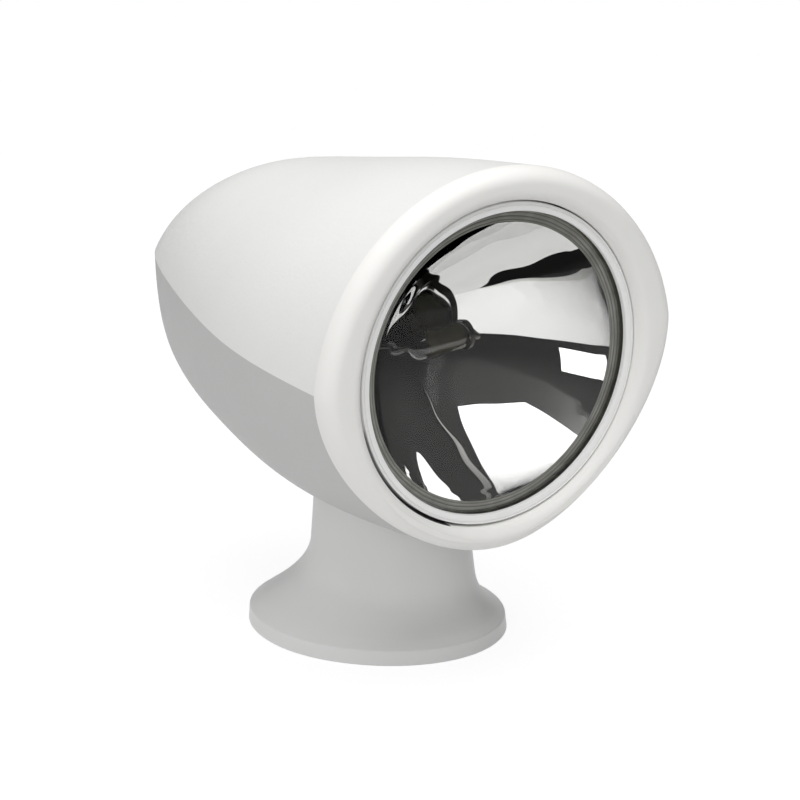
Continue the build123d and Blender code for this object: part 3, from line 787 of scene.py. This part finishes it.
# The black finish on the mouth's wall at the lower left is painted shade of the deep groove; the same finish
# is real black rubber on the gaskets.
bezel.data.materials.append(black_rubber_and_painted_shade.material)
for polygon in bezel.data.polygons:
    across, _, up = polygon.center * 1000
    turn = math.degrees(math.atan2(up - optical_height, across)) % 360
    reach = math.hypot(across, up - optical_height)
    if painted_shade_from < turn < painted_shade_to and reach < bezel_opening + painted_shade_depth:
        polygon.material_index = 1
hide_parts("bezel_ring")
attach(bezel, "head")
drive_screws("bezel_screws", "head", 7.0,
             [(bezel_screw_radius * math.cos(a), joint_y + front_wall_thickness,
               optical_height + bezel_screw_radius * math.sin(a), "back")
              for a in np.radians(bezel_screw_turns)])

# The retaining ring is a thin white moulding that frames the lamp, with two
# fine steps on its face.
lens_front = -71.6
ring_foot = joint_y + front_wall_thickness - lens_front
ring_shift = (0.36, 0.0, 0.06)

# Each point of the ring's section: radius, and how far behind the lens front.
ring_section = [(58.35, -0.45), (58.2, -0.72), (57.8, -0.8), (57.62, -0.5), (57.2, -0.5), (57.1, -0.8),
                (55.6, -0.8), (55.15, -0.6), (55.0, -0.2), (55.0, 1.0), (57.3, 1.0), (57.3, ring_foot),
                (58.35, ring_foot)]


def lamp_turning(name, section, along=False, shift=(0.0, 0.0, 0.0)):
    """A piece turned about the optical axis from (radius, y) points, then moved by the shift."""
    return lay_skin(name, [lamp_ring(r, joint_y - y) + shift for r, y in section], along=along)


ring_piece = lamp_turning("retaining_ring_moulding", [(r, lens_front + y) for r, y in ring_section],
                          along=True, shift=ring_shift)
smooth(ring_piece, 30)
white_gloss = Finish("white_gloss_plastic")
white_gloss.set(
    Base_Color=white_gloss.mix(white_gloss.noise(12, 3.0), (0.85, 0.85, 0.84), (0.89, 0.89, 0.88)),
    Roughness=0.26 + white_gloss.noise(2, 2.0) * 0.12,
)
ring_piece.data.materials.append(white_gloss.material)
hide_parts("retaining_ring")
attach(ring_piece, "head")

# The lamp is a sealed beam: a clear, smooth glass front fused to a silvered
# glass bowl.
lamp_radius = 57.15
lens_radius = 54.8
lens_sag = 2.4
lens_thickness = 3.0
bowl_mouth = 50.5
lens_back = lens_front + 3.2
lens_edge = lens_front + 1.0
lens_tip = lens_edge - lens_sag
lens_inside = lens_tip + lens_thickness


def dish_radius(reach, sag):
    """The radius of a sphere that falls back by this much at this reach."""
    return (reach ** 2 + sag ** 2) / (2 * sag)


def weld(piece, distance):
    """Merge points closer than this, in metres, and face the skin outwards."""
    shape = bmesh.new()
    shape.from_mesh(piece.data)
    bmesh.ops.remove_doubles(shape, verts=shape.verts, dist=distance)
    bmesh.ops.recalc_face_normals(shape, faces=shape.faces)
    shape.to_mesh(piece.data)
    shape.free()


front_curve = dish_radius(lens_radius, lens_sag)
back_curve = dish_radius(bowl_mouth, lens_back - lens_inside)
lens_section = [(r, lens_tip + front_curve - math.sqrt(front_curve ** 2 - r ** 2))
                for r in np.linspace(0.001, lens_radius, 28)]
lens_section += [(57.0, lens_edge), (lamp_radius, lens_edge + 0.2), (lamp_radius, lens_back)]
lens_section.append((bowl_mouth, lens_back))
lens_section += [(r, lens_inside + back_curve - math.sqrt(back_curve ** 2 - r ** 2))
                 for r in np.linspace(bowl_mouth - 0.1, 0.001, 26)]
lens = lamp_turning("lens_glass", lens_section)
weld(lens, 2e-6)
smooth(lens, 30)
clear_glass = Finish("clear_glass", Transmission_Weight=1.0, Roughness=0.0, IOR=1.2,
                     Base_Color=(0.985, 0.985, 0.98))
clear_glass.bump((clear_glass.noise(40, 1.0), 0.03, 0.1))
lens.data.materials.append(clear_glass.material)
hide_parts("lamp_lens")
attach(lens, "head")

# The bowl is pressed glass with a bright aluminium mirror on its inside, and
# a plain glass rim of dark olive tone, with painted reflections as light and
# dark lines round the mirror.
bowl_depth = 44.0
bowl_wall = 2.4
bowl_rim = 3.2
bowl_front = lens_back + seam
bowl_outside = bowl_mouth + bowl_wall
mirror_depth = 38.0
mirror_edge = 0.96
ripple_height = 0.06
rim_back = bowl_front + bowl_rim
mirror_section = [(bowl_mouth * s, bowl_front + mirror_depth * (1 - s * s))
                  for s in np.linspace(0.0005, 1, 90)]
rim_section = [(lamp_radius, bowl_front), (lamp_radius, rim_back), (bowl_outside, rim_back)]
back_section = [(bowl_outside * s, bowl_front + (bowl_depth + bowl_wall) * (1 - s * s))
                for s in np.linspace(mirror_edge, 0.0005, 40)]
bowl = lamp_turning("lamp_bowl", mirror_section + rim_section + back_section)
weld(bowl, 3e-5)
for vertex in bowl.data.vertices:
    across, back, up = vertex.co * 1000
    up -= optical_height
    share = math.hypot(across, up) / bowl_mouth
    mirror_y = bowl_front + mirror_depth * (1 - share ** 2)
    if share < mirror_edge and abs(back - mirror_y) < 0.3:
        wave = math.sin(0.33 * across + 0.2 * up) * math.sin(0.29 * up - 0.16 * across)
        vertex.co.y += ripple_height * wave / 1000
smooth(bowl, 30)
mirror = Finish("bright_silvering", Metallic=1.0, Roughness=0.015)
cloud = mirror.noise(17, 0.0)
mirror.set(Base_Color=mirror.mix(cloud, (0.74, 0.74, 0.735), (0.79, 0.79, 0.785)))
bowl.data.materials.append(mirror.material)
olive_glass = Finish("olive_rim_glass", Roughness=0.16, Specular_IOR_Level=0.6)
drop = olive_glass.along("Z") - optical_height / 1000
side = olive_glass.along("X")
reach = olive_glass.math("SQRT", side * side + drop * drop)
wobble = olive_glass.noise(11, 2.0) * 0.0006
glass_rim_end = 55.5
reflection_band = olive_glass.step(reach + wobble, bowl_mouth / 1000, glass_rim_end / 1000)
# The light and dark lines across the rim are painted reflections in the glass, over its dark olive tone.
lines = olive_glass.ramp(reflection_band, [
    (0.0, (0.30, 0.30, 0.27)), (0.07, (0.05, 0.05, 0.04)), (0.14, (0.50, 0.50, 0.46)),
    (0.24, (0.16, 0.16, 0.12)), (0.32, (0.56, 0.56, 0.51)), (0.44, (0.34, 0.34, 0.29)),
    (0.50, (0.09, 0.09, 0.07)), (0.56, (0.58, 0.58, 0.54)), (0.72, (0.46, 0.46, 0.40)),
    (0.78, (0.14, 0.14, 0.10)), (0.84, (0.60, 0.60, 0.56)), (1.0, (0.22, 0.22, 0.17))])
olive_glass.set(Base_Color=olive_glass.mix(olive_glass.noise(7, 3.0), lines, (0.13, 0.13, 0.10)))
bowl.data.materials.append(olive_glass.material)
for polygon in bowl.data.polygons:
    across, _, up = polygon.center * 1000
    if math.hypot(across, up - optical_height) > bowl_mouth + 0.05 or polygon.normal.y > 0.2:
        polygon.material_index = 1
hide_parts("lamp_reflector")
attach(bowl, "head")

# The burner is a short glass tube that lies across the back of the bowl,
# smoked to a dull olive brown, with a pinched seal at each end. A thin wire
# holds its left end and a dark clip its right end.
bowl_focus = bowl_front + bowl_depth - bowl_mouth ** 2 / (4 * bowl_depth)
burner_y = bowl_focus + 1.5
burner_middle = -2.2
soot_middle = -1.2
burner_end = [(-12.6, 0.01), (-12.6, 1.6), (-12.2, 2.2), (-11.4, 3.2), (-10.2, 4.5), (-9.0, 5.0),
              (-7.6, 5.15), (-4.0, 5.05)]
burner_section = burner_end + [(0.0, 5.0)] + [(-x, r) for x, r in reversed(burner_end)]


def tube_rings(section, count):
    """Rings about the burner's line, from (x, radius) points."""
    turn = np.linspace(0, 2 * math.pi, count + 1)[:-1]
    return [[(x, burner_y + r * math.cos(a), optical_height + r * math.sin(a)) for a in turn]
            for x, r in section]


burner_rings = tube_rings([(burner_middle + x, r) for x, r in burner_section], 48)
burner = lay_skin("burner_capsule", burner_rings, capped=True)
smooth(burner, 40)
smoked_glass = Finish("smoked_burner_glass", Roughness=0.1, Specular_IOR_Level=0.8)
from_middle = smoked_glass.math("ABSOLUTE", smoked_glass.along("X") - soot_middle / 1000)
end_soot = smoked_glass.step(from_middle, 0.006, 0.0105, interpolation_type="SMOOTHSTEP")
coil = smoked_glass.noise(3.0, 3.0)
tube_colour = smoked_glass.mix(coil, (0.016, 0.014, 0.007), (0.085, 0.076, 0.045))
smoked_glass.set(Base_Color=smoked_glass.mix(end_soot, tube_colour, (0.006, 0.006, 0.005)))
burner.data.materials.append(smoked_glass.material)
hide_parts("bulb_capsule")
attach(burner, "head")


def bent_wire(name, radius, points):
    """A stiff wire through points set off from the burner's line, as a plain mesh with closed ends."""
    line = bpy.data.curves.new(name, "CURVE")
    line.dimensions = "3D"
    line.bevel_depth = radius / 1000
    line.bevel_resolution = 4
    line.use_fill_caps = True
    route = line.splines.new("NURBS")
    route.points.add(len(points) - 1)
    for knot, (across, back, up) in zip(route.points, points):
        knot.co = (across / 1000, (burner_y + back) / 1000, (optical_height + up) / 1000, 1)
    route.order_u = 3
    route.use_endpoint_u = True
    route.resolution_u = 12
    holder = bpy.data.objects.new(name, line)
    bpy.context.scene.collection.objects.link(holder)
    mesh = settled(holder)
    bpy.data.objects.remove(holder)
    made = bpy.data.objects.new(name, mesh)
    bpy.context.scene.collection.objects.link(made)
    return made


left_wire = bent_wire("left_wire", 0.5, [(-13.0, 0.0, 0.0), (-17.0, 0.5, 0.0), (-22.0, 0.0, 0.6),
                                         (-26.0, 0.5, 0.0), (-30.0, 1.0, 0.0)])
right_clip = bent_wire("right_clip", 1.2, [(10.5, 0.0, -0.5), (13.5, 1.0, -1.5), (16.5, 2.5, -3.0),
                                           (19.0, 5.0, -4.0)])
clip_collar = lay_skin("clip_collar", tube_rings([(8.4, 5.1), (8.4, 5.55), (10.2, 5.25), (10.2, 4.6)], 24),
                       along=True)
leads = joined("burner_leads", left_wire, right_clip, clip_collar)
smooth(leads, 45)
dark_wire = Finish("oxidised_wire", Metallic=0.7, Roughness=0.35)
dark_wire.set(Base_Color=dark_wire.mix(dark_wire.noise(2, 3.0), (0.03, 0.03, 0.028), (0.10, 0.095, 0.08)))
leads.data.materials.append(dark_wire.material)
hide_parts("bulb_leads")
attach(leads, "head")
dress(["lamp_terminals"], turned_brass)

# The light stands on a round pale table under soft studio lamps. The camera
# looks down at it from the front left, as in the photograph.
table_radius = 0.62
card_share = 0.72
card_strength = 1.22
floor_shape = bmesh.new()
bmesh.ops.create_circle(floor_shape, cap_ends=True, segments=160, radius=table_radius)
floor = as_piece("floor", floor_shape)
pale_floor = Finish("pale_floor", Base_Color=(0.64, 0.64, 0.64), Roughness=0.9)
rays = pale_floor.tree.nodes.new("ShaderNodeLightPath")
bounced = pale_floor.math("MAXIMUM", Wire(pale_floor, rays.outputs["Is Glossy Ray"]),
                          Wire(pale_floor, rays.outputs["Is Transmission Ray"]))
seen = pale_floor.math("MAXIMUM", Wire(pale_floor, rays.outputs["Is Camera Ray"]), bounced)
white_card = pale_floor.tree.nodes.new("ShaderNodeEmission")
white_card.inputs["Strength"].default_value = card_strength
blend = pale_floor.tree.nodes.new("ShaderNodeMixShader")
pale_floor.tree.links.new((seen * card_share).socket, blend.inputs[0])
pale_floor.tree.links.new(pale_floor.shader.outputs[0], blend.inputs[1])
pale_floor.tree.links.new(white_card.outputs[0], blend.inputs[2])
pale_floor.tree.links.new(blend.outputs[0], pale_floor.out.inputs[0])
floor.data.materials.append(pale_floor.material)

# The room is white, as the camera sees it. What the mirror and the glossy
# skins show past the white table is the dim room of a studio.
world = bpy.data.worlds.new("studio")
bpy.context.scene.world = world
world.use_nodes = True
tree = world.node_tree
tree.nodes.clear()


def room(kind, settings=None, **inputs):
    """Add a node to the room's world. An input named n0 is the first one, n1 the second, and so on."""
    made = tree.nodes.new(kind)
    for name, value in (settings or {}).items():
        setattr(made, name, value)
    for name, value in inputs.items():
        socket = made.inputs[int(name[1:])] if name[0] == "n" and name[1:].isdigit() else made.inputs[name]
        if hasattr(value, "is_output"):
            tree.links.new(value, socket)
        else:
            socket.default_value = value
    return made


rays = room("ShaderNodeLightPath")
height = room("ShaderNodeSeparateXYZ", Vector=room("ShaderNodeTexCoord").outputs["Generated"]).outputs["Z"]
ceiling = room("ShaderNodeMapRange", Value=height, **{"From Min": 0.08, "From Max": 0.42}).outputs[0]
dim = room("ShaderNodeMix", {"data_type": "RGBA"}, n0=ceiling, n6=(0.012, 0.012, 0.012, 1),
           n7=(0.05, 0.05, 0.049, 1))
soft_light = room("ShaderNodeBackground", Strength=0.5).outputs[0]
white_back = room("ShaderNodeBackground", Color=(1, 1, 1, 1), Strength=1.0).outputs[0]
reflected = room("ShaderNodeBackground", Color=dim.outputs[2], Strength=1.0).outputs[0]
bounced = room("ShaderNodeMath", {"operation": "MAXIMUM"}, n0=rays.outputs["Is Glossy Ray"],
               n1=rays.outputs["Is Transmission Ray"])
first = room("ShaderNodeMixShader", n0=bounced.outputs[0], n1=soft_light, n2=reflected).outputs[0]
second = room("ShaderNodeMixShader", n0=rays.outputs["Is Camera Ray"], n1=first, n2=white_back).outputs[0]
room("ShaderNodeOutputWorld", Surface=second)


def soft_box(name, place, aim, size, power, mirrored=True):
    """A rectangular lamp at a place in metres, which mirrors show unless told not to."""
    lamp = bpy.data.lights.new(name, "AREA")
    lamp.shape = "RECTANGLE"
    lamp.size, lamp.size_y = size
    lamp.energy = power
    holder = bpy.data.objects.new(name, lamp)
    holder.location = place
    holder.rotation_euler = (Vector(aim) - Vector(place)).to_track_quat("-Z", "Y").to_euler()
    holder.visible_glossy = holder.visible_transmission = mirrored
    bpy.context.scene.collection.objects.link(holder)


soft_box("top_box", place=(-0.10, -0.30, 1.5), aim=(-0.10, -0.299, 0.0), size=(1.85, 1.9), power=23)
soft_box("front_box", place=(-1.5, -1.1, 0.75), aim=(0, 0, 0.1), size=(0.8, 0.8), power=6.0, mirrored=False)
soft_box("side_box", place=(-1.48, -0.67, 0.22), aim=(0, -0.07, 0.12), size=(0.36, 0.46), power=1.4)

azimuth, elevation, roll = math.radians(-33.8), math.radians(20.08), math.radians(-1.46)
camera_place = (-0.71383, -1.07543, 0.56051)
photo_width = 800
focal_length = 3745.36
sensor_width = 36.0
away = Vector((math.sin(azimuth) * math.cos(elevation), -math.cos(azimuth) * math.cos(elevation),
               math.sin(elevation)))
level = Vector((math.cos(azimuth), math.sin(azimuth), 0))
lifted = away.cross(level)
right = math.cos(roll) * level + math.sin(roll) * lifted
top = -math.sin(roll) * level + math.cos(roll) * lifted
lens_data = bpy.data.cameras.new("camera")
lens_data.sensor_fit = "HORIZONTAL"
lens_data.sensor_width = sensor_width
lens_data.lens = focal_length / photo_width * sensor_width
camera = bpy.data.objects.new("camera", lens_data)
camera.matrix_world = Matrix.Translation(camera_place) @ Matrix((right, top, away)).transposed().to_4x4()
bpy.context.scene.collection.objects.link(camera)
bpy.context.scene.camera = camera
bpy.context.scene.view_settings.view_transform = "Standard"
